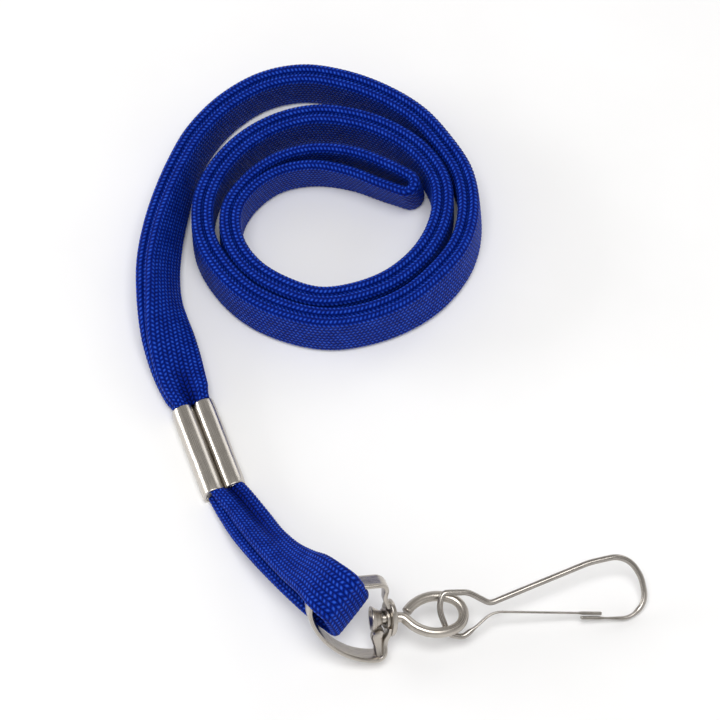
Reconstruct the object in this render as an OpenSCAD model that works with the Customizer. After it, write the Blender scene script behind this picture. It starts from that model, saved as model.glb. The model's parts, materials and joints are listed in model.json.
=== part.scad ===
// Neck lanyard with a crimped braid strap, a swivel stirrup and a wire J-hook.
// X runs to the right, Y away from the hook end, Z up; z = 0 is the surface it lies on.

/* [Strap] */
// Width of the flat tubular braid
strap_w = 10; // [9:0.1:10.5]
// Thickness of one layer of the braid
strap_t = 2.05; // [1.7:0.05:2.1]
// Width of the braid where it is gathered into the crimp
gather_w = 7.6; // [7:0.1:8]

/* [Crimp sleeve] */
// Length of the crimp sleeve
crimp_len = 19; // [16:0.5:21]
// Radius of each rolled lobe
crimp_lobe_r = 2.1; // [2.05:0.05:2.2]
// Thickness of the crimp's sheet
crimp_sheet = 0.5; // [0.3:0.05:0.5]

/* [Stirrup] */
// Length of the stirrup from its bow to its bar
stirrup_len = 14.7; // [14:0.1:15]
// Height of the stirrup across its two arms
stirrup_h = 15.8; // [15:0.2:16]
// Thickness of the stirrup's strip
strip_t = 0.9; // [0.7:0.05:1]
// Width of the stirrup's strip
strip_w = 4.4; // [3.6:0.1:4.4]
// Radius of the bore for the swivel shank
bore_r = 1.0; // [1:0.01:1.05]

/* [Swivel eye] */
// Radius of the swivel shank
shank_r = 0.94; // [0.9:0.01:0.95]
// Radius of the rod that the eye is bent from
rod_r = 0.95; // [0.85:0.01:0.95]
// Radius of the flared head inside the stirrup
head_r = 2.3; // [1.8:0.1:2.4]

/* [Hook] */
// Diameter of the hook's wire
wire_d = 1.1; // [1:0.05:1.1]
// Thickness of the flattened spring arm
latch_t = 0.4; // [0.3:0.02:0.42]
// Width of the flattened spring arm
latch_w = 1.3; // [1.1:0.1:1.5]

/* [Hidden] */

// Width of the strap where it spreads again just past the crimp
spread_w = 9.2;
// Route of the doubled neck strap from the crimp to its fold: x, y, lean of the band, width
route = [
    [-31.2, -11.6, 90, gather_w], [-33.7, -5.2, 84, spread_w], [-36.1, 2.5, 62, strap_w],
    [-37.8, 10, 40, strap_w], [-38.3, 17, 33, strap_w], [-37.7, 24, 27, strap_w], [-36.4, 31, 20, strap_w],
    [-34.3, 38.7, 11, strap_w], [-31.3, 45.9, 5, strap_w], [-26.1, 52.9, -1, strap_w],
    [-19.1, 58.1, -6, strap_w], [-11.2, 60.1, -8, strap_w], [-3.3, 58.8, -8, strap_w],
    [4.4, 55.5, -8, strap_w], [11.3, 50.5, -8, strap_w], [16.3, 44, -8, strap_w], [20, 36.5, -5, strap_w],
    [21, 28.1, -5, strap_w], [19.2, 20.1, -6, strap_w], [14.5, 13.1, -8, strap_w], [8.6, 8.1, -4, strap_w],
    [1.4, 4.9, -1, strap_w], [-6, 3.8, 0, strap_w], [-13.5, 5.4, 0, strap_w], [-20.5, 9.1, 0, strap_w],
    [-26, 15, 0, strap_w], [-29.4, 22, 0, strap_w], [-29.9, 29.6, 0, strap_w], [-27.7, 36.8, -2, strap_w],
    [-23, 43.4, -4, strap_w], [-16.5, 48.2, -6, strap_w], [-8.9, 50.4, -6, strap_w],
    [-1, 49.5, -6, strap_w], [6.2, 46.4, -6, strap_w], [12.2, 41.3, -6, strap_w],
    [15.6, 34.3, -3, strap_w], [15.4, 26.7, 0, strap_w], [12.4, 19.3, 0, strap_w], [6.9, 13.3, 0, strap_w],
    [0.2, 9.8, 0, strap_w], [-7.3, 8.5, 0, strap_w], [-14, 10.6, 0, strap_w], [-20.1, 14.8, 0, strap_w],
    [-23.9, 20.8, 0, strap_w], [-24.5, 27.8, 0, strap_w], [-21.5, 34, -4, strap_w],
    [-16, 38.9, -9, strap_w], [-8.9, 40.9, -11, strap_w], [-1.4, 40, -14, strap_w],
    [5.2, 37.2, -16, strap_w], [9.2, 35.2, -17, strap_w]
];
// Opening between the two runs at the last stations before the fold
fold_gap = [0.6, 1.2, 1.4, 1.4, 0.6];

// Middle of the short loop that holds the stirrup: point, roll, width, gap between its layers
loop_mid = [
    [[-24.8, -29.5, 2.2], 0, gather_w, 0.3], [[-22.5, -33.8, 2.9], -6, 7.4, 0.3],
    [[-19.8, -38.2, 4.2], -10, 7.2, 0.4], [[-17, -42.8, 6.2], -8, 7.2, 0.6],
    [[-13.9, -47.5, 8.7], 0, 7.4, 1.3], [[-10.6, -51.5, 11.1], 8, 8.4, 3.2],
    [[-7.4, -54, 12.9], 14, 8.8, 5.6], [[-5.6, -55.8, 13.4], 17, 9, 6.5],
    [[-4.1, -57.3, 13.1], 18, 8.8, 6.2]
];

// Crimp sleeve: middle of its flat back at the coil's end, and its heading on the floor
crimp_at = [-31.2, -11.6, 0];
crimp_turn = -70.4;

// Swivel line: where it crosses the stirrup's bar, its slope and its heading
swivel_at = [5.2, -58.3, 7.55];
swivel_pitch = 7;
swivel_yaw = 8;
stirrup_roll = 55;
eye_roll = 5;
hook_roll = 33;
hook_shift = 15;
hook_tilt = -4.7;

// Small working values
chamfer = 1.2;
joint_gap = 0.15;
snug_gap = 0.02;
overlap = 0.01;
fine = 64;

// --- strap sweep -----------------------------------------------------------

function unit(v) = v / norm(v);
function heading(pts, i) = unit(pts[min(i + 1, len(pts) - 1)] - pts[max(i - 1, 0)]);

// Eight-sided ring about point c, w across the width axis and t across the thickness axis
function ring8(c, wide, thick, w, t, ch) =
    let (hw = w / 2, ht = t / 2)
    [for (p = [[hw, ch - ht], [hw, ht - ch], [hw - ch, ht], [ch - hw, ht],
               [-hw, ht - ch], [-hw, ch - ht], [ch - hw, -ht], [hw - ch, -ht]])
        c + wide * p[0] + thick * p[1]];

// Closed solid through a list of rings that all have the same number of points
module sweep(rings) {
    n = len(rings);
    m = len(rings[0]);
    sides = [for (i = [0:n - 2], k = [0:m - 1], half = [0, 1])
        half == 0 ? [i * m + k, (i + 1) * m + k, (i + 1) * m + (k + 1) % m]
            : [i * m + k, (i + 1) * m + (k + 1) % m, i * m + (k + 1) % m]];
    start_cap = [[for (k = [0:m - 1]) k]];
    end_cap = [[for (k = [m - 1:-1:0]) (n - 1) * m + k]];
    polyhedron(points = [for (r = rings, p = r) p], faces = concat(sides, start_cap, end_cap), convexity = 10);
}

// Height of the band's middle when its lower edge rests on the floor
function rest_z(lean, w) =
    (w - strap_t) / 2 * abs(cos(lean)) + strap_t / 2 * abs(sin(lean)) + strap_t / 2;

route_xy = [for (r = route) [r[0], r[1], 0]];
function band_t(i) =
    2 * strap_t + (i < len(route) - len(fold_gap) ? 0 : fold_gap[i - len(route) + len(fold_gap)]);

neck_rings = [
    for (i = [0:len(route) - 1])
        let (
            h = i == 0 ? [cos(crimp_turn + 180), sin(crimp_turn + 180), 0] : heading(route_xy, i),
            inward = [h[1], -h[0], 0],
            lean = route[i][2],
            w = route[i][3],
            wide = [0, 0, cos(lean)] - inward * sin(lean),
            thick = inward * cos(lean) + [0, 0, sin(lean)]
        )
        ring8([route[i][0], route[i][1], rest_z(lean, w)], wide, thick, w, band_t(i), chamfer)
];

// Frame of the short loop at station i: heading, width axis, layer axis
function loop_frame(i) =
    let (
        s = i == 0 ? [cos(crimp_turn), sin(crimp_turn), 0]
            : heading([for (m = loop_mid) m[0]], i),
        flat = unit([-s[1], s[0], 0]),
        up = cross(s, flat),
        roll = loop_mid[i][1]
    )
    [s, flat * cos(roll) + up * sin(roll), up * cos(roll) - flat * sin(roll)];

// Ring of one layer of the short loop; side is 0 on the upper layer, 180 on the lower
function loop_ring(i, side) =
    let (
        f = loop_frame(i),
        m = loop_mid[i],
        out = f[2] * cos(side) + f[0] * sin(side)
    )
    ring8(m[0] + out * (strap_t + m[3]) / 2, f[1], out, m[2], strap_t, strap_t / 3);

loop_last = len(loop_mid) - 1;
loop_rings = concat(
    [for (i = [0:loop_last]) loop_ring(i, 0)],
    [for (side = [45, 90, 135]) loop_ring(loop_last, side)],
    [for (i = [loop_last:-1:0]) loop_ring(i, 180)]
);

// --- placing ---------------------------------------------------------------

// Middle of the whole lanyard's footprint, which becomes the origin
footprint_mid = [5, -2, 0];
module from_middle() {
    translate(-footprint_mid) children();
}

// Along the crimp from its mouth at the coil: local X runs down the sleeve, profiles stand in Y and Z
module in_crimp() {
    translate(crimp_at) rotate([0, 0, crimp_turn]) rotate([90, 0, 90]) children();
}

// Along the swivel line: local X points from the stirrup to the hook
module on_swivel(roll) {
    translate(swivel_at) rotate([0, swivel_pitch, swivel_yaw]) rotate([roll, 0, 0]) children();
}

// --- strap -----------------------------------------------------------------

lobe_x = 1.95;
fill_r = crimp_lobe_r - crimp_sheet - snug_gap;
fill_overlap = 0.5;

module neck_strap() {
    color("royalblue") from_middle() {
        sweep(neck_rings);
        in_crimp() translate([0, 0, -fill_overlap]) linear_extrude(crimp_len + fill_overlap)
            for (side = [-1, 1]) translate([side * lobe_x, crimp_lobe_r]) circle(fill_r, $fn = fine);
    }
}

module stirrup_loop() {
    color("royalblue") from_middle() sweep(loop_rings);
}

// --- crimp sleeve ----------------------------------------------------------

foot_r = 1;
foot_x = lobe_x + crimp_lobe_r - foot_r;
seam = 0.14;
curl_gap = 0.4;

// B outline: a flat back with round corners below two rolled lobes
module crimp_outline(inset) {
    for (side = [-1, 1]) {
        translate([side * lobe_x, crimp_lobe_r]) circle(crimp_lobe_r - inset, $fn = fine);
        translate([side * foot_x, foot_r]) circle(foot_r - inset, $fn = fine);
    }
    translate([-foot_x, inset]) square([2 * foot_x, foot_r - inset]);
}

module crimp_sleeve() {
    color("silver") from_middle() in_crimp() linear_extrude(crimp_len) difference() {
        union() {
            crimp_outline(0);
            translate([-foot_x - foot_r, foot_r])
                square([2 * (foot_x + foot_r), crimp_lobe_r - foot_r]);
        }
        for (side = [-1, 1]) translate([side * lobe_x, crimp_lobe_r])
            circle(crimp_lobe_r - crimp_sheet, $fn = fine);
        translate([-foot_x, crimp_sheet]) square([2 * foot_x, curl_gap]);
        for (side = [-1, 1]) translate([side * foot_x, foot_r])
            circle(foot_r - crimp_sheet, $fn = fine);
        translate([-seam / 2, crimp_sheet]) square([seam, 2 * crimp_lobe_r]);
    }
}

// --- stirrup ---------------------------------------------------------------

corner_r = 1.9;
bow_skew = 3;
bar_out = -0.35;
tab_r = 2.6;
tab_top = 4.3;
neck_w = 2.2;

// D outline: a skewed half oval on the bow side, round corners on the bar side
module d_outline(inset) {
    a = stirrup_len - corner_r - inset;
    b = stirrup_h / 2 - inset;
    translate([-corner_r, 0])
        polygon([for (t = [90:6:270]) [a * cos(t), b * sin(t) + bow_skew * cos(t) * cos(t)]]);
    translate([-corner_r - overlap, corner_r - stirrup_h / 2])
        square([corner_r - inset + overlap, stirrup_h - 2 * corner_r]);
    for (side = [-1, 1]) translate([-corner_r, side * (stirrup_h / 2 - corner_r)])
        circle(corner_r - inset, $fn = fine);
}

// Round end of one of the strip's two lapped ends, its outer face at local x
module lapped_end(x) {
    translate([x - strip_t, 0, 0]) rotate([0, 90, 0]) cylinder(h = strip_t, r = tab_r, $fn = fine);
}

module stirrup() {
    side_cut = strip_w / 2;
    color("silver") from_middle() on_swivel(stirrup_roll) difference() {
        union() {
            difference() {
                translate([bar_out, 0, 0]) linear_extrude(strip_w, center = true) difference() {
                    d_outline(0);
                    d_outline(strip_t);
                }
                for (z = [neck_w / 2, -neck_w / 2 - side_cut])
                    translate([bar_out - 1.5 * strip_t, corner_r - stirrup_h / 2, z])
                        cube([2 * strip_t, stirrup_h - 2 * corner_r, side_cut]);
            }
            lapped_end(bar_out);
            lapped_end(bar_out + strip_t);
            translate([bar_out, 0, -neck_w / 2]) cube([strip_t, tab_top, neck_w]);
        }
        translate([-3 * strip_t, 0, 0]) rotate([0, 90, 0]) cylinder(h = 5 * strip_t, r = bore_r, $fn = fine);
    }
}

// --- swivel eye ------------------------------------------------------------

head_play = 0.1;
head_at = bar_out - strip_t - head_play;
head_len = 2;
head_floor = 0.5;
head_wall = 0.4;
head_lip = 0.3;
eye_r = 3.2;
eye_x = 10.4;
eye_side_r = 7;
eye_turn = 65;
eye_end = 144;
shank_end = 3.4;
// The bow's end arc laps its two legs by this angle and stands this much proud of them
lap = 1;
weld = 0.02;

// Part of a round rod bent to radius r about the origin, between two angles
module bent_rod(r, from, to, rod) {
    rotate_extrude(angle = to - from, start = from, $fn = 2 * fine) translate([r, 0]) circle(rod, $fn = 32);
}

module swivel_eye() {
    side_shift = -(eye_side_r - eye_r) * [cos(eye_turn), sin(eye_turn)];
    color("silver") from_middle() on_swivel(eye_roll) {
        translate([head_at - head_floor / 2, 0, 0]) rotate([0, 90, 0])
            cylinder(h = shank_end - head_at + head_floor / 2, r = shank_r, $fn = fine);
        // flared head with its hollow, turned about the shank
        translate([head_at, 0, 0]) rotate([0, -90, 0]) rotate_extrude($fn = fine)
            polygon([[0, 0], [shank_r + head_wall, 0], [head_r, head_len - head_lip], [head_r, head_len],
                     [head_r - head_wall, head_len], [head_wall, head_floor], [0, head_floor]]);
        translate([eye_x, 0, 0]) {
            bent_rod(eye_r, -eye_turn - lap, eye_turn + lap, rod_r + weld);
            translate(side_shift) bent_rod(eye_side_r, eye_turn, eye_end, rod_r);
            mirror([0, 1, 0]) translate(side_shift) bent_rod(eye_side_r, eye_turn, eye_end, rod_r);
        }
    }
}

// --- hook ------------------------------------------------------------------

latch_y = 0.12;
return_y = -0.72;
tab_t = 0.62;
// Thickness where the wire begins to flatten, and the spring arm's root beside the back loop
return_t = 0.6;
latch_root = 5.75;
// Corners of the wire's middle line in the hook's own plane: x, y, bend radius, thickness, width.
// It starts as the flattened spring strip, rounds into the back loop and ends in a flat tab.
hook_path = [
    [latch_root, latch_y, 0, latch_t, latch_w], [3.95, latch_y, 4.4, latch_t, latch_w],
    [0.6, -3, 0, latch_t, latch_w], [-1.3, -4.5, 1.4, wire_d, wire_d], [-4, -4.1, 1.6, wire_d, wire_d],
    [-6.1, 0.8, 5, wire_d, wire_d], [-5.2, 3.4, 1, wire_d, wire_d], [-0.6, 3.55, 3, wire_d, wire_d],
    [3.4, 1.6, 1.8, wire_d, wire_d], [21.5, 9.25, 12, wire_d, wire_d], [28.4, 10.9, 4.6, wire_d, wire_d],
    [31.3, 6.8, 6, wire_d, wire_d], [32.6, 1.9, 3, wire_d, wire_d], [29.2, return_y, 4, return_t, latch_w],
    [24.2, return_y, 0, latch_t, latch_w], [24, return_y, 0, tab_t, latch_w],
    [20.3, return_y, 0, tab_t, latch_w]
];
latch_path = [
    [latch_root + joint_gap, latch_y, 0, latch_t, latch_w], [20.1, latch_y, 0, latch_t, latch_w],
    [20.3, latch_y, 0, tab_t, latch_w], [24, latch_y, 0, tab_t, latch_w]
];
bend_step = 18;

function to_corner(path, i, j) = unit([path[j][0] - path[i][0], path[j][1] - path[i][1]]);
function half_corner(path, i) = acos(to_corner(path, i, i - 1) * to_corner(path, i, i + 1)) / 2;

// Ring of a wire at p heading along d, t thick in the hook's plane and w wide across it
function wire_ring(p, d, t, w) = [
    for (a = [0:30:330])
        [p[0] - d[1] * cos(a) * t / 2, p[1] + d[0] * cos(a) * t / 2, sin(a) * w / 2]
];

// Rings round bend i, from the end of the run before it to the start of the run after it
function bend_rings(path, i) =
    let (
        before = to_corner(path, i, i - 1),
        after = to_corner(path, i, i + 1),
        half = half_corner(path, i),
        mid = unit(before + after),
        centre = [path[i][0], path[i][1]] + mid * path[i][2] / sin(half),
        side = cross([-before[0], -before[1], 0], [after[0], after[1], 0])[2] > 0 ? 1 : -1,
        turn = 180 - 2 * half,
        steps = ceil(turn / bend_step)
    )
    [for (k = [0:steps])
        let (
            a = atan2(-mid[1], -mid[0]) + side * turn * (k / steps - 0.5),
            out = [cos(a), sin(a)]
        )
        wire_ring(centre + out * path[i][2], side * [-out[1], out[0]], path[i][3], path[i][4])];

function path_rings(path) = [
    for (i = [0:len(path) - 1])
        each path[i][2] > 0 ? bend_rings(path, i)
            : [wire_ring(path[i], i == 0 ? to_corner(path, 0, 1) : to_corner(path, i - 1, i),
                path[i][3], path[i][4])]
];

module in_hook() {
    on_swivel(hook_roll) translate([hook_shift, 0, 0]) rotate([0, 0, hook_tilt]) children();
}

module hook_wire() {
    color("silver") from_middle() in_hook() sweep(path_rings(hook_path));
}

module latch_arm() {
    color("silver") from_middle() in_hook() sweep(path_rings(latch_path));
}

neck_strap();
stirrup_loop();
crimp_sleeve();
stirrup();
swivel_eye();
hook_wire();
latch_arm();
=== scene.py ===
import json
import math

import bpy
import numpy as np
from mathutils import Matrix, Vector


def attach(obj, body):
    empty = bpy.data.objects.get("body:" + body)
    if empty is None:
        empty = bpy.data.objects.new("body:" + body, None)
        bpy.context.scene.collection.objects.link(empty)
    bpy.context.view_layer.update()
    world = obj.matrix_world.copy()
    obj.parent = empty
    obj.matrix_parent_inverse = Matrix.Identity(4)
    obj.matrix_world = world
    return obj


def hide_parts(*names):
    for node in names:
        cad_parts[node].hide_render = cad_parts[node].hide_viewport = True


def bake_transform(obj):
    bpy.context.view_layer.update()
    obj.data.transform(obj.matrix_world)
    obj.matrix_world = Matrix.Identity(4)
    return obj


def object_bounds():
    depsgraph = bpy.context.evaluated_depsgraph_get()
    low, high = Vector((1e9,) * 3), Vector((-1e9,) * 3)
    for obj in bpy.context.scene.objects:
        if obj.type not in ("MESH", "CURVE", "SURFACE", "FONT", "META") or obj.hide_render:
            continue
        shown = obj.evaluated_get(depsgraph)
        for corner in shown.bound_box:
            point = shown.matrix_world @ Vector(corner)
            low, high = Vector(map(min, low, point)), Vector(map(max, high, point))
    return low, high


# A neck lanyard lying on a pale floor: a doubled flat braid coiled on its edge, gathered into a
# crimp sleeve, and a short loop of it that holds a swivel stirrup, an eye and a wire hook.

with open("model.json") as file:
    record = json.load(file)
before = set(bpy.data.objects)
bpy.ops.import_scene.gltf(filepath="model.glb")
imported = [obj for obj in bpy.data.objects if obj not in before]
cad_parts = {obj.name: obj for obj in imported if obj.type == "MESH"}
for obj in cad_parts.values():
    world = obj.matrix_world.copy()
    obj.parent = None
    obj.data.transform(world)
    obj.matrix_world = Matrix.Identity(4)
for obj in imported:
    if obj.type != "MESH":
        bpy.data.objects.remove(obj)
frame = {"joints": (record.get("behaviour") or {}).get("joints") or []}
cad_box = [list(corner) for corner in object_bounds()]
MM = 0.001

# The CAD model is drawn about this point and then moved so that its footprint is centred.
FOOTPRINT_MID = np.array([5.0, -2.0, 0.0])


# --- camera ------------------------------------------------------------------------------

VIEW_ELEVATION = math.radians(59)
VIEW_DISTANCE = 0.7
VIEW_TARGET = -FOOTPRINT_MID * MM
SENSOR_W = 36
FOCAL_LENGTH = 185.5


def make_camera():
    """A long lens at the height that shows the coil's edge-on laps."""
    data = bpy.data.cameras.new("camera")
    data.sensor_width = SENSOR_W
    data.lens = FOCAL_LENGTH
    camera = bpy.data.objects.new("camera", data)
    bpy.context.scene.collection.objects.link(camera)
    back = np.array([0, -math.cos(VIEW_ELEVATION), math.sin(VIEW_ELEVATION)])
    camera.location = VIEW_TARGET + VIEW_DISTANCE * back
    camera.rotation_euler = (math.pi / 2 - VIEW_ELEVATION, 0, 0)
    bpy.context.scene.camera = camera


make_camera()


# --- vectors and meshes ------------------------------------------------------------------

UP = np.array([0.0, 0.0, 1.0])
SPLINE_SAMPLES = 40


def unit(v):
    return v / np.maximum(np.linalg.norm(v, axis=-1, keepdims=True), 1e-12)


def smoothstep(t):
    t = np.clip(t, 0, 1)
    return t * t * (3 - 2 * t)


def spline(rows, step):
    """Rows of numbers, the first three a point, run through a smooth curve with even steps."""
    rows = np.array(rows, float)
    ghost = np.vstack([2 * rows[0] - rows[1], rows, 2 * rows[-1] - rows[-2]])
    t = np.linspace(0, 1, SPLINE_SAMPLES, endpoint=False)[:, None]
    parts = []
    for a, b, c, d in zip(ghost, ghost[1:], ghost[2:], ghost[3:]):
        parts.append(0.5 * (2 * b + (c - a) * t + (2 * a - 5 * b + 4 * c - d) * t ** 2
                            + (3 * b - a - 3 * c + d) * t ** 3))
    return even(np.vstack(parts + [rows[-1:]]), step)


def even(rows, step):
    """The same polyline with points an even distance apart, of about step."""
    run = arc_length(rows[:, :3])
    at = np.linspace(0, run[-1], max(2, int(round(run[-1] / step)) + 1))
    return np.stack([np.interp(at, run, rows[:, k]) for k in range(rows.shape[1])], axis=1)


def tangents(points):
    return unit(np.gradient(points, axis=0))


def arc_length(points):
    return np.concatenate([[0], np.cumsum(np.linalg.norm(np.diff(points, axis=0), axis=1))])


def tube_mesh(name, rings, along, around, closed=False, crease_shade_mask=None):
    """A closed skin over rings of points (rings x points x 3, in mm). The attribute "weave" holds
    its lengthwise and girthwise coordinates, and how deep in a crease each point lies, which sets
    painted shade."""
    n, m = rings.shape[:2]
    i = np.arange(n if closed else n - 1)[:, None] * m
    j = ((np.arange(len(i)) + 1) % n)[:, None] * m
    k = np.arange(m)[None, :]
    k2 = (k + 1) % m
    quads = np.stack([i + k, i + k2, j + k2, j + k], axis=-1).reshape(-1, 4)
    verts = rings.reshape(-1, 3) * MM
    faces = [tuple(q) for q in quads.tolist()]
    lengthwise = along[:len(i)], along[1:len(i) + 1]
    girth = np.append(around, around[-1] + (around[-1] - around[-2]))
    girthwise = girth[:m], girth[1:]
    shape = (len(i), m)
    corner = np.stack([
        np.stack([np.broadcast_to(lengthwise[a][:, None], shape),
                  np.broadcast_to(girthwise[b][None, :], shape)], -1)
        for a, b in ((0, 0), (0, 1), (1, 1), (1, 0))], axis=2).reshape(-1, 2)
    depth = np.zeros(len(corner))
    if crease_shade_mask is not None:
        depth = crease_shade_mask.ravel()[quads.ravel()]
    if not closed:
        depth = np.append(depth, np.zeros(6 * m))
        ends = np.array([rings[0].mean(0), rings[-1].mean(0)]) * MM
        verts = np.vstack([verts, ends])
        low, high = n * m, n * m + 1
        last = (n - 1) * m
        faces += [(low, (a + 1) % m, a) for a in range(m)]
        faces += [(high, last + a, last + (a + 1) % m) for a in range(m)]
        cap = np.array([[along[0], 0]] * 3 * m + [[along[-1], 0]] * 3 * m, float)
        corner = np.vstack([corner, cap])
    mesh = bpy.data.meshes.new(name)
    mesh.from_pydata(verts.tolist(), [], faces)
    attribute = mesh.attributes.new("weave", "FLOAT_VECTOR", "CORNER")
    values = np.column_stack([corner, depth]).astype(np.float32)
    attribute.data.foreach_set("vector", values.ravel())
    mesh.polygons.foreach_set("use_smooth", np.ones(len(mesh.polygons), bool))
    mesh.update()
    return mesh


def add_piece(name, mesh, material, body=None):
    piece = bpy.data.objects.new(name, mesh)
    bpy.context.scene.collection.objects.link(piece)
    mesh.materials.append(material)
    if body:
        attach(piece, body)
    return piece


# --- materials ---------------------------------------------------------------------------

def new_material(name):
    material = bpy.data.materials.new(name)
    material.use_nodes = True
    return material, material.node_tree, material.node_tree.nodes["Principled BSDF"]


class Graph:
    """Short ways to add and join shader nodes."""

    def __init__(self, tree):
        self.tree = tree

    def node(self, kind, **inputs):
        node = self.tree.nodes.new(kind)
        for key, value in inputs.items():
            self.feed(node.inputs[key.replace("_", " ")], value)
        return node

    def feed(self, socket, value):
        if isinstance(value, bpy.types.NodeSocket):
            self.tree.links.new(value, socket)
        else:
            socket.default_value = value

    def math(self, operation, *values, clamp=False):
        node = self.tree.nodes.new("ShaderNodeMath")
        node.operation = operation
        node.use_clamp = clamp
        for socket, value in zip(node.inputs, values):
            self.feed(socket, value)
        return node.outputs[0]

    def weave(self):
        """The lengthwise and the girthwise coordinate, and the depth of a crease, which sets
        painted shade.
        """
        source = self.tree.nodes.new("ShaderNodeAttribute")
        source.attribute_name = "weave"
        split = self.node("ShaderNodeSeparateXYZ", Vector=source.outputs["Vector"])
        return split.outputs["X"], split.outputs["Y"], split.outputs["Z"]

    def vector(self, x, y, z=0.0):
        return self.node("ShaderNodeCombineXYZ", X=x, Y=y, Z=z).outputs[0]

    def noise(self, vector, scale, detail=3.0):
        node = self.node("ShaderNodeTexNoise", Vector=vector, Scale=scale, Detail=detail)
        return node.outputs["Fac"]

    def ramp(self, factor, stops):
        node = self.node("ShaderNodeValToRGB", Fac=factor)
        elements = node.color_ramp.elements
        while len(elements) < len(stops):
            elements.new(0.5)
        for element, (position, colour) in zip(elements, stops):
            element.position = position
            element.color = (*colour, 1)
        return node.outputs["Color"]

    def mix(self, factor, a, b, blend="MIX"):
        node = self.tree.nodes.new("ShaderNodeMix")
        node.data_type = "RGBA"
        node.blend_type = blend
        for socket, value in zip((node.inputs[0], node.inputs[6], node.inputs[7]), (factor, a, b)):
            self.feed(socket, value)
        return node.outputs[2]

    def bump(self, height, strength, distance, normal=None):
        node = self.node("ShaderNodeBump", Strength=strength, Distance=distance, Height=height)
        if normal is not None:
            self.feed(node.inputs["Normal"], normal)
        return node.outputs["Normal"]


# Stitches: their pitch along the braid in mm, columns round it, slant and how square they look
STITCH_PITCH = 0.8
COLUMNS = 24
STITCH_SLANT = 0.45
BELLY_POWER = 2.4
# Painted tones: shade painted into the grooves, the braid's own blue, and highlights painted on the
# crests
GROOVE_SHADE_BLUE = (0.0004, 0.002, 0.045)
BODY_BLUE = (0.001, 0.014, 0.22)
CREST_HIGHLIGHT_BLUE = (0.022, 0.09, 0.58)
SHADES = [(0.0, GROOVE_SHADE_BLUE), (0.32, BODY_BLUE), (0.68, BODY_BLUE), (1.0, CREST_HIGHLIGHT_BLUE)]
# How far the filaments and the slow wander of the dye change the tone, and how far painted shade
# darkens a crease
FILAMENT_SHADE = 0.35
WANDER_SHADE = 0.5
CREASE_PAINTED_SHADE = 0.6
FILAMENTS_ALONG = 14.0
FILAMENTS_ACROSS = 2.5


def braid_material():
    """Royal blue flat tubular braid: slanted stitches in columns, each of fine filaments; painted
    shade in grooves and creases, painted highlights on crests.
    """
    material, tree, shader = new_material("braid")
    g = Graph(tree)

    def dome(centred, power):
        """1 at the middle of a unit span and 0 at its two ends."""
        edge = g.math("ABSOLUTE", g.math("MULTIPLY", centred, 2.0))
        return g.math("SUBTRACT", 1.0, g.math("POWER", edge, power))

    def swing(noise, amount):
        """A noise centred on 0."""
        return g.math("MULTIPLY", g.math("SUBTRACT", noise, 0.5), amount)

    along, column, crease_shade_mask = g.weave()
    whole = g.math("FLOOR", column)
    across = g.math("SUBTRACT", g.math("SUBTRACT", column, whole), 0.5)
    odd = g.math("PINGPONG", whole, 1.0)
    side = g.math("SUBTRACT", g.math("MULTIPLY", odd, 2.0), 1.0)
    slant = g.math("MULTIPLY", g.math("MULTIPLY", across, side), STITCH_SLANT)
    phase = g.math("ADD", g.math("ADD", along, g.math("MULTIPLY", odd, 0.5)), slant)
    step = g.math("SUBTRACT", g.math("FRACT", phase), 0.5)
    stitch = g.math("MULTIPLY", dome(step, 2.0), dome(across, BELLY_POWER), clamp=True)
    strands = g.vector(g.math("MULTIPLY", phase, FILAMENTS_ALONG),
                       g.math("MULTIPLY", across, FILAMENTS_ACROSS), whole)
    filaments = g.noise(strands, 1.0, 2.0)
    wander = g.noise(g.vector(along, column), 0.35, 4.0)
    shade = g.math("ADD", stitch, swing(filaments, FILAMENT_SHADE))
    shade = g.math("ADD", shade, swing(wander, WANDER_SHADE))
    # Painted shade: the crease darkens the colour in place of the shadow in the fold
    shade = g.math("SUBTRACT", shade, g.math("MULTIPLY", crease_shade_mask, CREASE_PAINTED_SHADE), clamp=True)
    # The ramp paints shade into the grooves between stitches and highlights onto their crests
    g.feed(shader.inputs["Base Color"], g.ramp(shade, SHADES))
    rough = g.math("ADD", 0.42, g.math("MULTIPLY", filaments, 0.2))
    g.feed(shader.inputs["Roughness"], rough)
    shader.inputs["Specular IOR Level"].default_value = 0.2
    shader.inputs["IOR"].default_value = 1.3
    shader.inputs["Specular Tint"].default_value = (0.35, 0.5, 1.0, 1.0)
    shader.inputs["Sheen Weight"].default_value = 0.05
    shader.inputs["Sheen Roughness"].default_value = 0.4
    shader.inputs["Sheen Tint"].default_value = (0.1, 0.25, 1.0, 1.0)
    coarse = g.bump(stitch, 0.8, 0.16 * MM)
    g.feed(shader.inputs["Normal"], g.bump(filaments, 0.35, 0.04 * MM, coarse))
    return material


# Plating: how dark its dull patches are, and how far lines and patches change its roughness
DULL_SHARE = 0.72
LINE_ROUGHNESS = 0.16
CLOUD_ROUGHNESS = 0.1
MEAN_ROUGHENING = 0.13


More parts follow.
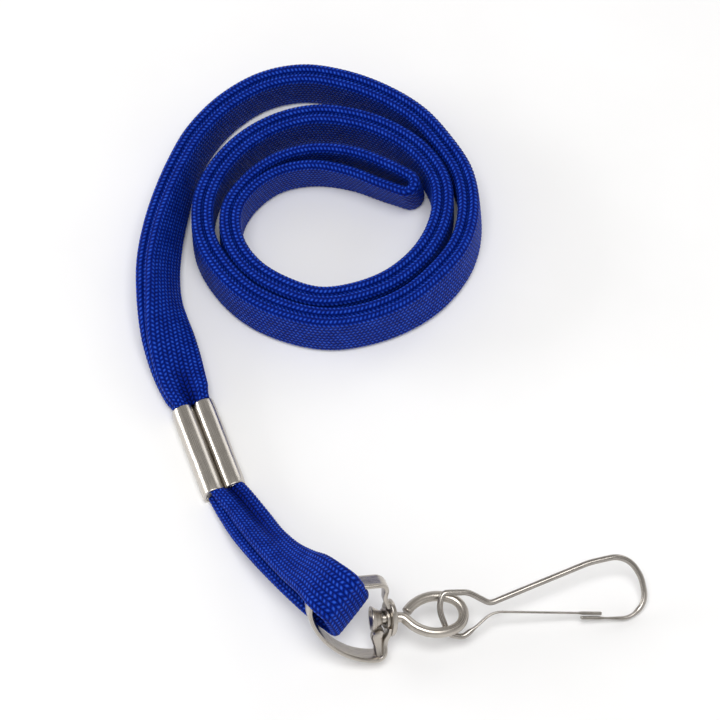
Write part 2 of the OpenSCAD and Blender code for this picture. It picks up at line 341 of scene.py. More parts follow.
def nickel_material(name, colour, roughness, streak):
    """Nickel plate over drawn steel: lengthwise drawing lines, faint tarnish, small pits."""
    material, tree, shader = new_material(name)
    g = Graph(tree)
    along, girth, _ = g.weave()
    drawn = g.vector(g.math("MULTIPLY", along, 0.12), g.math("MULTIPLY", girth, 5.0))
    lines = g.noise(drawn, 1.6, 6.0)
    place = g.node("ShaderNodeTexCoord").outputs["Object"]
    cloud = g.noise(place, 180.0, 4.0)
    pits = g.noise(place, 2600.0, 2.0)
    dull = tuple(c * DULL_SHARE for c in colour)
    tone = g.math("ADD", g.math("MULTIPLY", lines, streak),
                  g.math("MULTIPLY", cloud, 1.0 - streak), clamp=True)
    g.feed(shader.inputs["Base Color"], g.ramp(tone, [(0.32, dull), (0.62, colour)]))
    spread = g.math("ADD", g.math("MULTIPLY", lines, LINE_ROUGHNESS),
                    g.math("MULTIPLY", cloud, CLOUD_ROUGHNESS))
    g.feed(shader.inputs["Roughness"], g.math("ADD", spread, roughness - MEAN_ROUGHENING))
    shader.inputs["Metallic"].default_value = 1.0
    fine = g.bump(lines, 0.45 * streak, 0.03 * MM)
    g.feed(shader.inputs["Normal"], g.bump(pits, 0.12, 0.02 * MM, fine))
    return material


BRAID = braid_material()
CRIMP_METAL = nickel_material("crimp_nickel", (0.66, 0.62, 0.565), 0.27, 0.75)
SWIVEL_METAL = nickel_material("swivel_nickel", (0.53, 0.49, 0.44), 0.28, 0.4)
WIRE_METAL = nickel_material("wire_nickel", (0.43, 0.4, 0.365), 0.27, 0.5)


# --- braid cross-sections ----------------------------------------------------------------

BRAID_W = 10.0
LAYER_T = 1.95
SAMPLES_PER_COLUMN = 3
RING_STEP = STITCH_PITCH / 4
GIRTH = COLUMNS * SAMPLES_PER_COLUMN
COLUMN_AT = (np.arange(GIRTH) + 0.5) / SAMPLES_PER_COLUMN
# Heights of the stitches and of the braid's crowned faces
RELIEF = 0.11
CROWN = 0.1
# The trough: half its width as a share of the braid's, and how deep it cuts on its two faces
TROUGH_SPREAD = 0.15
TROUGH_NEAR = 1.35
TROUGH_FAR = 0.25


def flat_section(width, thickness):
    """Points round a flattened tube, evenly spaced, and their outward directions."""
    flat = width - thickness
    girth = 2 * flat + math.pi * thickness
    at = (np.arange(GIRTH) + 0.5) / GIRTH * girth
    quarter = math.pi * thickness / 4
    half = flat + 2 * quarter
    side = np.where(at < half, 1.0, -1.0)
    d = np.where(at < half, at, at - half)
    on_flat = np.clip(d - quarter, 0, flat)
    turn = (np.clip(d, 0, quarter) + np.clip(d - quarter - flat, 0, quarter)) / (thickness / 2)
    out = np.stack([np.cos(turn), np.sin(turn)], 1) * side[:, None]
    centre = np.stack([flat / 2 - on_flat, np.zeros(GIRTH)], 1) * side[:, None]
    return centre + out * thickness / 2, out


def stitch_height(along):
    """Relief of the stitches at each ring and each point round it, from 0 to 1."""
    whole = np.floor(COLUMN_AT)
    across = COLUMN_AT - whole - 0.5
    odd = whole % 2
    offset = 0.5 * odd + STITCH_SLANT * across * (2 * odd - 1)
    phase = along[:, None] / STITCH_PITCH + offset[None, :]
    step = phase - np.floor(phase) - 0.5
    bead = np.clip(1 - (2 * step) ** 2, 0, 1)
    return bead * (1 - np.abs(2 * across[None, :]) ** BELLY_POWER)


def braid_mesh(name, centre, wide, out, width, thickness, trough, trough_at=0.0):
    """Sweeps the braid along a path. trough presses the middle of the layer in, against out; its
    crease gets painted shade.
    """
    n = len(centre)
    along = arc_length(centre)
    relief = stitch_height(along) * RELIEF - RELIEF / 2
    rings = np.empty((n, GIRTH, 3))
    crease_shade_mask = np.empty((n, GIRTH))
    for i in range(n):
        points, normal = flat_section(width[i], thickness[i])
        v, t = (points + normal * relief[i][:, None]).T
        crown = CROWN * (1 - (2 * v / width[i]) ** 2) * np.sign(t)
        off_trough = (v - trough_at * width[i]) / (TROUGH_SPREAD * width[i])
        fold = np.exp(-off_trough ** 2) * trough[i]
        dent = fold * np.where(t > 0, TROUGH_NEAR, TROUGH_FAR)
        # Painted shade for the crease, on the pressed-in face only
        crease_shade_mask[i] = fold * (t > 0)
        rings[i] = centre[i] + wide[i] * v[:, None] + out[i] * (t + crown - dent)[:, None]
    return tube_mesh(name, rings, along / STITCH_PITCH, COLUMN_AT, crease_shade_mask=crease_shade_mask), along


# Where the strap leaves the crimp it is narrower and thinner, and it spreads again within a few mm
MOUTH_W = 6.9
MOUTH_PINCH = 0.45
PINCH_RUN = 2.5
SPREAD_RUN = 6


def from_crimp(run, widths):
    """Width and thickness of the braid at each distance from the crimp's mouth."""
    open_w = MOUTH_W + (BRAID_W - MOUTH_W) * smoothstep(run / SPREAD_RUN)
    thickness = LAYER_T - MOUTH_PINCH * (1 - smoothstep(run / PINCH_RUN))
    return np.minimum(widths, open_w), thickness


# --- neck strap --------------------------------------------------------------------------

STRAP_T = 2.05
# Middle of the doubled strap, as in the CAD model: x, y, lean
ROUTE = [
    (-31.2, -11.6, 90), (-33.7, -5.2, 84), (-36.1, 2.5, 62), (-37.8, 10, 40), (-38.3, 17, 33),
    (-37.7, 24, 27), (-36.4, 31, 20), (-34.3, 38.7, 11), (-31.3, 45.9, 5), (-26.1, 52.9, -1),
    (-19.1, 58.1, -6), (-11.2, 60.1, -8), (-3.3, 58.8, -8), (4.4, 55.5, -8), (11.3, 50.5, -8),
    (16.3, 44, -8), (20, 36.5, -5), (21, 28.1, -5), (19.2, 20.1, -6), (14.5, 13.1, -8),
    (8.6, 8.1, -4), (1.4, 4.9, -1), (-6, 3.8, 0), (-13.5, 5.4, 0), (-20.5, 9.1, 0), (-26, 15, 0),
    (-29.4, 22, 0), (-29.9, 29.6, 0), (-27.7, 36.8, -2), (-23, 43.4, -4), (-16.5, 48.2, -6),
    (-8.9, 50.4, -6), (-1, 49.5, -6), (6.2, 46.4, -6), (12.2, 41.3, -6), (15.6, 34.3, -3),
    (15.4, 26.7, 0), (12.4, 19.3, 0), (6.9, 13.3, 0), (0.2, 9.8, 0), (-7.3, 8.5, 0), (-14, 10.6, 0),
    (-20.1, 14.8, 0), (-23.9, 20.8, 0), (-24.5, 27.8, 0), (-21.5, 34, -4), (-16, 38.9, -9),
    (-8.9, 40.9, -11), (-1.4, 40, -14), (5.2, 37.2, -16), (9.2, 35.2, -17),
]
# Widths at the first stations, and openings between the two runs at the last ones
FIRST_WIDTHS = [7.6, 9.2]
FOLD_OPENINGS = [0.6, 1.4, 2, 2, 1.4]
LAYER_GAP = 0.12
# The strap is lifted by the crimp's back, and comes down over this run
CRIMP_LIFT = 0.45
LIFT_RUN = 30
# Trough pressed in by the crimp: its depth, its share on the outer run, and its length
TROUGH = 0.9
OUTER_SHARE = 0.6
TROUGH_RUN = 11


def neck_strap():
    """The two runs of the doubled strap, which meet at the fold."""
    x, y, lean = np.array(ROUTE, float).T
    width = np.append(FIRST_WIDTHS, np.full(len(x) - len(FIRST_WIDTHS), BRAID_W))
    opening = np.append(np.zeros(len(x) - len(FOLD_OPENINGS)), FOLD_OPENINGS)
    rest = (width - STRAP_T) / 2 * np.abs(np.cos(np.radians(lean)))
    rest = rest + STRAP_T / 2 * np.abs(np.sin(np.radians(lean))) + STRAP_T / 2
    rows = spline(np.column_stack([x, y, rest, lean, width, opening]), RING_STEP)
    mid = rows[:, :3]
    mid[:, 2] += CRIMP_LIFT * (1 - smoothstep(arc_length(mid) / LIFT_RUN))
    lean = np.radians(rows[:, 3])[:, None]
    heading = tangents(mid * [1, 1, 0])
    inward = np.stack([heading[:, 1], -heading[:, 0], np.zeros(len(mid))], 1)
    wide = UP * np.cos(lean) - inward * np.sin(lean)
    out = inward * np.cos(lean) + UP * np.sin(lean)
    run = arc_length(mid)
    width, thickness = from_crimp(run, rows[:, 4])
    trough = TROUGH * (1 - smoothstep(run / TROUGH_RUN))
    offset = (thickness + LAYER_GAP + rows[:, 5]) / 2
    bends = np.radians(np.arange(2, 92, 2))[:, None]
    hold = np.ones(len(bends))
    for name, side, share in (("strap_run_outer", -1, OUTER_SHARE), ("strap_run_inner", 1, 1.0)):
        centre = mid + side * out * offset[:, None]
        round_tip = side * out[-1] * np.cos(bends) + heading[-1] * np.sin(bends)
        tip = mid[-1] + offset[-1] * round_tip
        data = even(np.column_stack([
            np.vstack([centre, tip]), np.vstack([wide, np.outer(hold, wide[-1])]),
            np.vstack([out, side * round_tip]), np.append(width, hold * width[-1]),
            np.append(thickness, hold * thickness[-1]), np.append(trough * share, hold * 0),
        ]), RING_STEP)
        data[:, :3] -= FOOTPRINT_MID
        mesh, along = braid_mesh(name, data[:, :3], unit(data[:, 3:6]), unit(data[:, 6:9]),
                                 data[:, 9], data[:, 10], data[:, 11])
        piece = add_piece(name, mesh, BRAID, "strap")
        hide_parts("neck_strap")


neck_strap()


# --- lower loop --------------------------------------------------------------------------

CRIMP_TURN = math.radians(-70.4)
# Middle of the loop: point, roll, width, gap between its layers, sideways slip of the lower layer
LOOP_MID = [
    ((-24.4, -29.4, 2.2), 0, 6.4, 0.1, 0.5),
    ((-21.8, -33.3, 2.8), -6, 6.4, 0.2, 1.1),
    ((-19.2, -37.9, 4.2), -10, 6.8, 0.3, 1.1),
    ((-16.6, -42.5, 6.1), -8, 6.7, 0.6, 0.9),
    ((-13.3, -47.1, 8.2), 0, 6.9, 1.3, 0.9),
    ((-10, -50.9, 10.3), 8, 7.7, 2.8, 1.1),
    ((-7, -53.8, 12.1), 14, 8.7, 4.8, 1.4),
    ((-4.9, -56.2, 13.1), 17, 9.5, 5.8, 1.1),
    ((-3.6, -57.4, 13.3), 18, 9.9, 5.4, 1),
]
TIP_REACH = 0.6
TIP_TURNS = (20, 50, 90, 130, 160)
# Troughs of the upper and the lower layer, how far they run and where they lie across the width
UPPER_TROUGH = 0.95
LOWER_TROUGH = 0.3
LOOP_TROUGH_RUN = 24
LOOP_TROUGH_AT = 0.08


def lower_loop():
    """The short loop below the crimp, out over the stirrup's bow and back."""
    points = np.array([m[0] for m in LOOP_MID], float)
    ahead = unit(np.vstack([points[1:], points[-1:]]) - np.vstack([points[:1], points[:-1]]))
    ahead[0] = [math.cos(CRIMP_TURN), math.sin(CRIMP_TURN), 0]
    flat = unit(np.cross(UP, ahead))
    rise = np.cross(ahead, flat)
    roll = np.radians([m[1] for m in LOOP_MID])[:, None]
    wide = flat * np.cos(roll) + rise * np.sin(roll)
    layer = rise * np.cos(roll) - flat * np.sin(roll)
    last = len(points) - 1
    stops = [(i, 0) for i in range(last + 1)] + [(last, a) for a in TIP_TURNS]
    stops += [(i, 180) for i in range(last, -1, -1)]
    rows = []
    for i, turn in stops:
        a = math.radians(turn)
        out = layer[i] * math.cos(a) + ahead[i] * math.sin(a)
        offset = (LAYER_T + LOOP_MID[i][3]) / 2
        slip = LOOP_MID[i][4] * smoothstep(turn / 180)
        up_by = math.copysign(math.sqrt(abs(math.cos(a))), math.cos(a))
        tip = layer[i] * up_by + ahead[i] * TIP_REACH * math.sqrt(abs(math.sin(a)))
        centre = points[i] + tip * offset - wide[i] * slip
        rows.append([*centre, *wide[i], *out, LOOP_MID[i][2]])
    rows = spline(rows, RING_STEP)
    rows[:, :3] -= FOOTPRINT_MID
    run = arc_length(rows[:, :3])
    near = np.minimum(run, run[-1] - run)
    width, thickness = from_crimp(near, rows[:, 9])
    trough = np.where(run < run[-1] / 2, UPPER_TROUGH, LOWER_TROUGH)
    trough = trough * (1 - smoothstep(near / LOOP_TROUGH_RUN))
    mesh, _ = braid_mesh("strap_loop", rows[:, :3], unit(rows[:, 3:6]), unit(rows[:, 6:9]),
                         width, thickness, trough, LOOP_TROUGH_AT)
    piece = add_piece("strap_loop", mesh, BRAID, "strap")
    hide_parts("stirrup_loop")


lower_loop()


# --- metal sweeps ------------------------------------------------------------------------

SECTION_POINTS = 32
THINNEST = 0.02
SMOOTH_SPAN = 9


def section(width, thickness, squareness):
    """Points round a bar's section: a circle at squareness 2, nearer a rectangle above it."""
    a = np.arange(SECTION_POINTS) / SECTION_POINTS * 2 * math.pi
    c, s = np.cos(a), np.sin(a)
    power = 2 / squareness
    return np.stack([np.sign(c) * np.abs(c) ** power * thickness / 2,
                     np.sign(s) * np.abs(s) ** power * width / 2], 1)


def rounded_end(run, radius, start=True, end=True):
    """How much of its full section a bar keeps near its rounded ends."""
    keep = np.ones(len(run))
    for near, wanted in ((run, start), (run[-1] - run, end)):
        if wanted:
            d = np.clip(near / radius, THINNEST, 1)
            keep = keep * np.sqrt(1 - (1 - d) ** 2)
    return keep


def with_end_rings(rows, radius, start=True, end=True):
    """Adds close rings at the ends, so that a rounded end is smooth."""
    run = arc_length(rows[:, :3])
    extra = radius * (1 - np.cos(np.linspace(0, math.pi / 2, 7)))
    at = [run]
    if start:
        at.append(extra)
    if end:
        at.append(run[-1] - extra)
    at = np.unique(np.concatenate(at))
    return np.stack([np.interp(at, run, rows[:, k]) for k in range(rows.shape[1])], 1)


def bar_mesh(name, rows, place, end_radius=0.25, start=True, end=True):
    """Sweeps a bar along rows of x, y, z, width, thickness, squareness in a part's own plane."""
    rows = with_end_rings(rows, end_radius, start, end)
    path = rows[:, :3]
    run = arc_length(path)
    keep = rounded_end(run, end_radius, start, end)
    ahead = tangents(path)
    side = unit(np.stack([-ahead[:, 1], ahead[:, 0], np.zeros(len(path))], 1))
    across = np.cross(ahead, side)
    rings = np.empty((len(path), SECTION_POINTS, 3))
    for i, (width, thickness, squareness) in enumerate(rows[:, 3:6]):
        inset = (1 - keep[i]) * end_radius * 2
        points = section(max(width - inset, THINNEST), max(thickness - inset, THINNEST), squareness)
        rings[i] = path[i] + side[i] * points[:, :1] + across[i] * points[:, 1:]
    girth = np.arange(SECTION_POINTS) * (math.pi * rows[:, 3].mean() / SECTION_POINTS)
    return tube_mesh(name, place(rings), run, girth)


def turned_mesh(name, profile, place, steps=72):
    """Turns a closed profile of (x, radius) points about the local X axis."""
    a = np.arange(steps) / steps * 2 * math.pi
    profile = np.array(profile, float)
    rings = np.empty((steps, len(profile), 3))
    rings[:, :, 0] = profile[None, :, 0]
    rings[:, :, 1] = profile[None, :, 1] * np.cos(a)[:, None]
    rings[:, :, 2] = profile[None, :, 1] * np.sin(a)[:, None]
    run = np.append(a, 2 * math.pi) * profile[:, 1].mean()
    return tube_mesh(name, place(rings), run, arc_length(profile), closed=True)


def soft_corners(points, radius, steps=5):
    """A closed outline with its corners rounded."""
    points = np.array(points, float)
    result = []
    for before, corner, after in zip(np.roll(points, 1, 0), points, np.roll(points, -1, 0)):
        a, b = before - corner, after - corner
        reach = min(radius, np.linalg.norm(a) * 0.45, np.linalg.norm(b) * 0.45)
        p, q = corner + unit(a) * reach, corner + unit(b) * reach
        for t in np.linspace(0, 1, steps):
            result.append((1 - t) ** 2 * p + 2 * t * (1 - t) * corner + t * t * q)
    return np.array(result)


def filleted(corners, step):
    """Rows of x, y, z, width, thickness, squareness along corners given as x, y, bend radius,
    width, thickness, squareness, each rounded to its radius."""
    rows = []
    for i, (x, y, radius, *shape) in enumerate(corners):
        p = np.array([x, y], float)
        if not radius:
            rows.append([x, y, 0, *shape])
            continue
        before = unit(np.array(corners[i - 1][:2]) - p)
        after = unit(np.array(corners[i + 1][:2]) - p)
        half = math.acos(float(np.clip(before @ after, -1, 1))) / 2
        middle = unit(before + after)
        centre = p + middle * radius / math.sin(half)
        turn = math.pi - 2 * half
        side = np.sign(-before[0] * after[1] + before[1] * after[0])
        start = math.atan2(-middle[1], -middle[0])
        for k in np.linspace(-0.5, 0.5, max(3, int(math.degrees(turn) / 4))):
            a = start + side * turn * k
            rows.append([*(centre + radius * np.array([math.cos(a), math.sin(a)])), 0, *shape])
    rows = even(np.array(rows, float), step)
    window = np.ones(SMOOTH_SPAN) / SMOOTH_SPAN
    for k in (0, 1, 3, 4, 5):
        padded = np.pad(rows[:, k], SMOOTH_SPAN // 2, mode="reflect", reflect_type="odd")
        rows[:, k] = np.convolve(padded, window, "valid")
    return rows


# --- crimp sleeve ------------------------------------------------------------------------

LOBE_R = 2.1
LOBE_X = 2.04
LOBE_FULLNESS = 2.3
SHEET_T = 0.5
CRIMP_LEN = 19.0
CRIMP_AT = np.array([-31.2, -11.6, 0.0])
FOOT_R = 1.0
# The curled edges' start angle, the cut edge's rounding, and the bell of the two mouths
CURL_FROM = -40
EDGE_R = 0.16
EDGE_THINNER = 0.13
BELL = 0.09
BELL_RUN = 0.9
BELL_ABOVE = 0.8
BELL_RISE = 1.5
OUTLINE_STEP = 0.22
WOBBLE = 0.02
WOBBLE_POINTS = 12


def crimp_outline():
    """Middle line of the rolled sheet, from one curled edge round the back to the other."""
    r = LOBE_R - SHEET_T / 2
    foot = FOOT_R - SHEET_T / 2
    full = 2 / LOBE_FULLNESS
    lobe = []
    for a in np.radians(np.arange(CURL_FROM, 181, 6)):
        c, s = math.cos(a), math.sin(a)
        lobe.append((-LOBE_X + r * math.copysign(abs(c) ** full, c),
                     LOBE_R + r * math.copysign(abs(s) ** full, s)))
    foot_x = LOBE_X + r - foot
    corner = [(-foot_x + foot * math.cos(a), FOOT_R + foot * math.sin(a))
              for a in np.radians(np.arange(180, 271, 15))]
    half = np.array(lobe + corner)
    return np.vstack([half, half[::-1] * [-1, 1]])


def crimp_sleeve():
    """The rolled B of sheet with soft, slightly belled mouths."""
    middle = even(crimp_outline(), OUTLINE_STEP)
    ahead = tangents(middle)
    normal = np.stack([ahead[:, 1], -ahead[:, 0]], 1)
    rounding = EDGE_R * (1 - np.cos(np.linspace(0, math.pi / 2, 6)))
    stations = np.concatenate([rounding, np.linspace(0.5, CRIMP_LEN - 0.5, 40),
                               CRIMP_LEN - rounding[::-1]])
    rng = np.random.default_rng(7)
    wobble = np.interp(stations, np.linspace(0, CRIMP_LEN, WOBBLE_POINTS),
                       rng.normal(0, WOBBLE, WOBBLE_POINTS))
    rings = []
    for s, w in zip(stations, wobble):
        near = min(s, CRIMP_LEN - s)
        keep = math.sqrt(max(0.0, 1 - (1 - min(near / EDGE_R, 1)) ** 2))
        half = SHEET_T / 2 - EDGE_THINNER * (1 - keep)
        bell = BELL * math.exp(-(near / BELL_RUN) ** 2) + w
        line = middle - normal * bell * smoothstep((middle[:, 1:] - BELL_ABOVE) / BELL_RISE)
        outer, inner = line - normal * half, line + normal * half
        loop = np.vstack([outer, inner[::-1]])
        rings.append(np.column_stack([loop, np.full(len(loop), s)]))
    rings = np.array(rings)
    ahead = np.array([math.cos(CRIMP_TURN), math.sin(CRIMP_TURN), 0])
    left = np.cross(UP, ahead)
    world = (CRIMP_AT - FOOTPRINT_MID + rings[..., :1] * left + rings[..., 1:2] * UP
             + rings[..., 2:] * ahead)
    girth = arc_length(rings[0])
    mesh = tube_mesh("crimp", world, stations, girth)
    piece = add_piece("crimp_sleeve_rolled", mesh, CRIMP_METAL, "strap")
    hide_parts("crimp_sleeve")


crimp_sleeve()


# --- swivel ------------------------------------------------------------------------------

def swivel_place(roll, shift=0.0, tilt=0.0):
    """Moves points from a swivel part's own plane, X along the swivel line, into the frame."""
    joint = next(j for j in frame["joints"] if j["name"] == "swivel_spin")
    x = unit(np.array(joint["axis"], float))
    y = unit(np.cross(UP, x))
    z = np.cross(x, y)
    a, b = math.radians(roll), math.radians(tilt)
    y, z = y * math.cos(a) + z * math.sin(a), z * math.cos(a) - y * math.sin(a)
    origin = np.array(joint["pos_m"]) / MM + shift * x
    x, y = x * math.cos(b) + y * math.sin(b), y * math.cos(b) - x * math.sin(b)
    return lambda p: origin + p @ np.stack([x, y, z])


def arc(x, y, r, degrees):
    """Points round a centre at the given angles."""
    return [(x + r * math.cos(t), y + r * math.sin(t)) for t in np.radians(degrees)]


STIRRUP_ROLL = 55
STIRRUP_LEN = 14.7
STIRRUP_H = 15.8
STRIP_T = 0.9
STRIP_W = 4.4
CORNER_W = 3.4
CORNER_WIDENING = 0.625
CORNER_R = 1.9
BOW_SKEW = 3.0
BAR_X = -0.35
STRIP_STEP = 0.2
STRIP_END_R = 0.15
# Middle of the leaf folded up from the lower corner: x, y, z, width, thickness, squareness
LEAF = [
    (-1.5, -7.1, 0, 2.6, 1.9, 4), (-1.7, -6.2, 0, 2.1, 1.9, 3), (-1.85, -5.2, 0, 1.9, 1.9, 3),
    (-2.05, -4.2, 0, 2.0, 2.1, 3), (-2.15, -3.4, 0, 2.3, 2.3, 3), (-1.75, -2.6, 0, 2.7, 1.6, 3),
    (-1.3, -2.0, 0, 2.8, 0.8, 3),
]
LEAF_STEP = 0.15
LEAF_END_R = 0.2
# Bored ends of the strip: both lean, and the outer one is stretched beside its bore into an oval
LAP_LEAN = math.radians(16)
LAP_BORE_R = 1.16
LAP_EDGE_R = 0.22
OUTER_LAP_R = 2.6
OUTER_LAP_STRETCH = 0.38
STRETCH_RUN = 0.8
INNER_LAP_X = -0.7
INNER_LAP_R = 1.9
INNER_LAP_T = 0.6


def stirrup():
    """One bent strip: wide round the bow, narrow at its necks, with two bored ends that lap."""
    place = swivel_place(STIRRUP_ROLL)
    a = STIRRUP_LEN - CORNER_R - STRIP_T / 2
    b = (STIRRUP_H - STRIP_T) / 2
    r = CORNER_R - STRIP_T / 2
    corner_x = BAR_X - CORNER_R
    inner = BAR_X - STRIP_T / 2
    outer = inner + STRIP_T

    def corner(side, degrees):
        """Rows round the corner above the bar, side 1, or below it, side -1."""
        return [(x, y, CORNER_W + CORNER_WIDENING * abs(math.radians(t)))
                for (x, y), t in zip(arc(corner_x, side * (b - r), r, degrees), degrees)]

    # rows of x, y and width, from the upper neck round the bow to the lower neck
    rows = [(outer - 0.2, 2.3, 2.2), (inner + 0.3, 3.2, 2.0), (inner - 0.1, 4.1, 2.0),
            (inner - 0.1, 5.0, 2.5)]
    rows += corner(1, np.arange(0, 91, 15))
    rows += [(corner_x + a * math.cos(t), b * math.sin(t) + BOW_SKEW * math.cos(t) ** 2, STRIP_W)
             for t in np.radians(np.arange(96, 270, 6))]
    rows += corner(-1, np.arange(-90, 1, 15))
    rows += [(inner, -5.0, 2.7), (inner + 0.2, -3.9, 2.6), (outer - 0.2, -2.6, 3.2),
             (outer, -1.4, 3.8)]
    line = np.array([(x, y, 0, w, STRIP_T, 5.0) for x, y, w in rows])
    mesh = bar_mesh("stirrup_strip", spline(line, STRIP_STEP), place, STRIP_END_R)
    strip = add_piece("stirrup_strip", mesh, SWIVEL_METAL, "stirrup")
    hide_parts("stirrup")
    leaf_mesh = bar_mesh("stirrup_leaf", spline(LEAF, LEAF_STEP), place, LEAF_END_R)
    add_piece("stirrup_leaf", leaf_mesh, SWIVEL_METAL, "stirrup")
    add_lap("stirrup_outer_lap", outer, STRIP_T, OUTER_LAP_R, OUTER_LAP_STRETCH, place)
    add_lap("stirrup_inner_lap", INNER_LAP_X, INNER_LAP_T, INNER_LAP_R, 0, place)


def add_lap(name, x, thick, radius, stretch, place):
    """A bored end of the strip: a leaning disc, stretched along the bar beyond its bore."""
    c, s = math.cos(LAP_LEAN), math.sin(LAP_LEAN)
    lean = np.array([[c, 0, -s], [0, 1, 0], [s, 0, c]])
    half = thick / 2
    outline = [(-half, LAP_BORE_R), (-half, radius), (half, radius), (half, LAP_BORE_R)]

    def place_lap(p):
        out = np.hypot(p[..., 1:2], p[..., 2:])
        beyond = smoothstep((out - LAP_BORE_R) / STRETCH_RUN)
        return place((p * (1 + beyond * [0, stretch, 0])) @ lean + [x, 0, 0])

    lap = turned_mesh(name, soft_corners(outline, LAP_EDGE_R), place_lap)
    add_piece(name, lap, SWIVEL_METAL, "stirrup")


EYE_ROLL = 5
SHANK_R = 0.94
ROD_STEP = 0.18
ROD_END_R = 0.18
EYE_R = 3.2
EYE_X = 10.4
EYE_SIDE_R = 7.0
EYE_TURN = 65
# Angles round the side bends where the butting leg and the leg of the shank end
BUTT_END = 142
SHANK_END = -136
# Flared head: where it starts, and its profile as distance behind that and radius
HEAD_X = -1.37
HEAD_PROFILE = [(0, 0.3), (0, 1.3), (0.9, 1.75), (1.7, 2.3), (2.0, 2.3), (2.0, 1.95), (1.1, 1.3),
                (0.5, 0.3)]
HEAD_EDGE_R = 0.25


def swivel_eye():
    """A rod bent into a pear-shaped eye: one leg runs into the shank and the other butts on it."""
    place = swivel_place(EYE_ROLL)
    drop = EYE_SIDE_R - EYE_R
    side_x = EYE_X - drop * math.cos(math.radians(EYE_TURN))
    side_y = drop * math.sin(math.radians(EYE_TURN))
    points = arc(side_x, -side_y, EYE_SIDE_R, np.arange(BUTT_END, EYE_TURN, -4))
    points += arc(EYE_X, 0, EYE_R, np.arange(EYE_TURN, -EYE_TURN - 1, -6))
    points += arc(side_x, side_y, EYE_SIDE_R, np.arange(-EYE_TURN - 4, SHANK_END, -4))
    points += [(2.75, -0.32), (2.0, -0.05), (1.2, 0), (0, 0), (HEAD_X - 0.3, 0)]
    line = np.array([(x, y, 0, 2 * SHANK_R, 2 * SHANK_R, 2.0) for x, y in points])
    mesh = bar_mesh("eye_rod", spline(line, ROD_STEP), place, ROD_END_R)
    rod = add_piece("eye_rod", mesh, SWIVEL_METAL, "eye")
    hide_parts("swivel_eye")
    outline = [(HEAD_X - behind, radius) for behind, radius in HEAD_PROFILE]
    head = turned_mesh("eye_head", soft_corners(outline, HEAD_EDGE_R), place)
    add_piece("eye_head", head, SWIVEL_METAL, "eye")


# --- hook --------------------------------------------------------------------------------

HOOK_ROLL = 33
HOOK_SHIFT = 15.0
HOOK_TILT = -4.7
WIRE_D = 1.1
LATCH_W = 1.3
LATCH_T = 0.4
TAB_T = 0.62
LATCH_Y = 0.12
RETURN_Y = -0.72
LATCH_ROOT = 5.7
STRIP = (LATCH_W, LATCH_T, 4.0)
WIRE = (WIRE_D, WIRE_D, 2.0)
TAB = (LATCH_W, TAB_T, 4.0)
FLATTENING = (LATCH_W, 0.7, 3.0)
# Corners of the hook in its own plane: x, y, bend radius, width, thickness, squareness
HOOK_CORNERS = [
    (LATCH_ROOT, LATCH_Y, 0, *STRIP), (3.95, LATCH_Y, 4.4, *STRIP), (0.9, -2.72, 0, *STRIP),
    (-0.1, -3.55, 0, *WIRE), (-1.3, -4.5, 1.4, *WIRE), (-4, -4.1, 1.6, *WIRE),
    (-6.1, 0.8, 5, *WIRE), (-5.2, 3.4, 1, *WIRE), (-0.6, 3.55, 3, *WIRE), (3.4, 1.6, 1.8, *WIRE),
    (21.5, 9.25, 12, *WIRE), (28.4, 10.9, 4.6, *WIRE), (31.3, 6.8, 6, *WIRE),
    (32.4, 2.1, 3.9, *WIRE), (29.2, RETURN_Y, 4, *FLATTENING), (25.2, RETURN_Y, 0, *STRIP),
    (24.2, RETURN_Y, 0, *STRIP), (23.9, RETURN_Y, 0, *TAB), (20.3, RETURN_Y, 0, *TAB),
]
LATCH_CORNERS = [
    (LATCH_ROOT, LATCH_Y, 0, *STRIP), (19.9, LATCH_Y, 0, *STRIP), (20.2, LATCH_Y, 0, *TAB),
    (24, LATCH_Y, 0, *TAB),
]
WIRE_STEP = 0.1
WIRE_END_R = 0.12
# Two stations along the latch arm; hook() works out their places and does not use them
BEND_FROM = 6.2
BEND_TO = 9.5


def hook():
    """Spring wire: a round back loop and upper arm, flattened into the latch arm and the return."""
    place = swivel_place(HOOK_ROLL, HOOK_SHIFT, HOOK_TILT)
    path = filleted(HOOK_CORNERS, WIRE_STEP)
    wire = bar_mesh("hook_bent_wire", path, place, WIRE_END_R, start=False)
    piece = add_piece("hook_bent_wire", wire, WIRE_METAL, "hook")
    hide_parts("hook_wire")
    path = filleted(LATCH_CORNERS, WIRE_STEP)
    strip = bar_mesh("latch_strip", path, place, WIRE_END_R, start=False)
    latch = add_piece("latch_strip", strip, WIRE_METAL)
    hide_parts("latch_arm")
    ends = place(np.array([[BEND_FROM, LATCH_Y, 0], [BEND_TO, LATCH_Y, 0]])) * MM
    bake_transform(latch)


stirrup()
swivel_eye()
hook()


# --- floor and light ---------------------------------------------------------------------

FLOOR_HALF = 1.5
FLOOR_GAP = 0.02 * MM
FLOOR_TONES = [(0.3, (0.93, 0.93, 0.93)), (0.7, (0.95, 0.95, 0.95))]
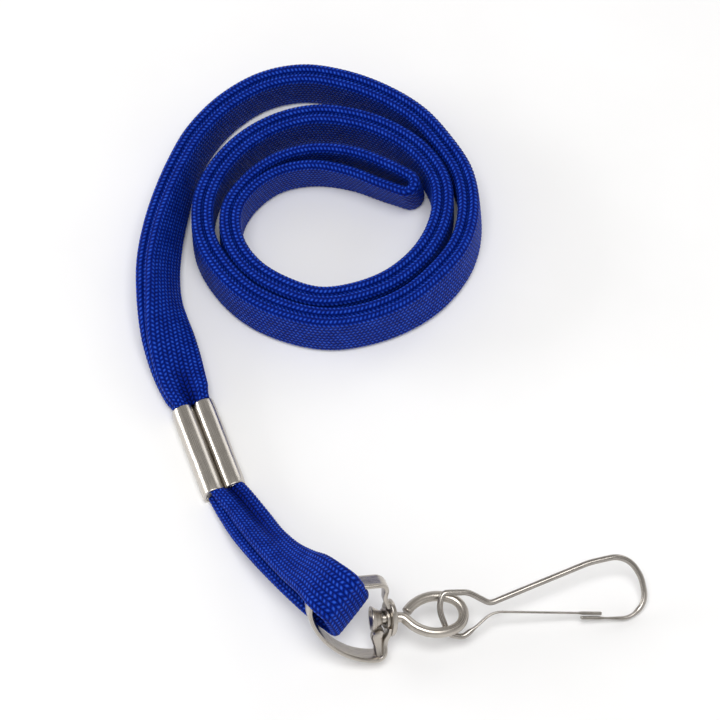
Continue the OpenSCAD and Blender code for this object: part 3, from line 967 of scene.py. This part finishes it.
# The studio's brightness from the horizon to straight overhead
SKY_TONES = [(0.0, (0.9, 0.9, 0.9)), (0.3, (0.85, 0.85, 0.86)), (0.62, (0.36, 0.35, 0.34)),
             (1.0, (0.3, 0.29, 0.28))]


def make_floor():
    material, tree, shader = new_material("floor_white")
    g = Graph(tree)
    place = g.node("ShaderNodeTexCoord").outputs["Object"]
    grain = g.noise(place, 40.0, 3.0)
    g.feed(shader.inputs["Base Color"], g.ramp(grain, FLOOR_TONES))
    shader.inputs["Roughness"].default_value = 0.8
    shader.inputs["Specular IOR Level"].default_value = 0.2
    mesh = bpy.data.meshes.new("floor")
    corners = [(-1, -1), (1, -1), (1, 1), (-1, 1)]
    mesh.from_pydata([(x * FLOOR_HALF, y * FLOOR_HALF, 0) for x, y in corners], [], [(0, 1, 2, 3)])
    floor = bpy.data.objects.new("floor", mesh)
    bpy.context.scene.collection.objects.link(floor)
    mesh.materials.append(material)
    floor.location.z = cad_box[0][2] - FLOOR_GAP


def area_light(name, place, size, power):
    """A soft box at a place in metres, aimed at the middle of the lanyard."""
    data = bpy.data.lights.new(name, "AREA")
    data.shape = "RECTANGLE"
    data.size, data.size_y = size
    data.energy = power
    light = bpy.data.objects.new(name, data)
    bpy.context.scene.collection.objects.link(light)
    light.location = place
    light.rotation_euler = (-Vector(place)).to_track_quat("-Z", "Y").to_euler()


def make_world():
    world = bpy.data.worlds.new("studio")
    bpy.context.scene.world = world
    world.use_nodes = True
    tree = world.node_tree
    g = Graph(tree)
    direction = g.node("ShaderNodeTexCoord").outputs["Generated"]
    height = g.node("ShaderNodeSeparateXYZ", Vector=direction).outputs["Z"]
    colour = g.ramp(height, SKY_TONES)
    background = tree.nodes["Background"]
    g.feed(background.inputs["Color"], colour)
    background.inputs["Strength"].default_value = 1.0


bpy.context.scene.view_settings.view_transform = "Standard"
make_floor()
make_world()
area_light("key", (-0.8, 0.14, 0.24), (0.45, 0.22), 2.2)
area_light("top", (0.0, -0.3, 1.1), (0.7, 0.6), 8.0)
area_light("back", (0.5, 0.7, 0.55), (0.3, 0.5), 0.6)
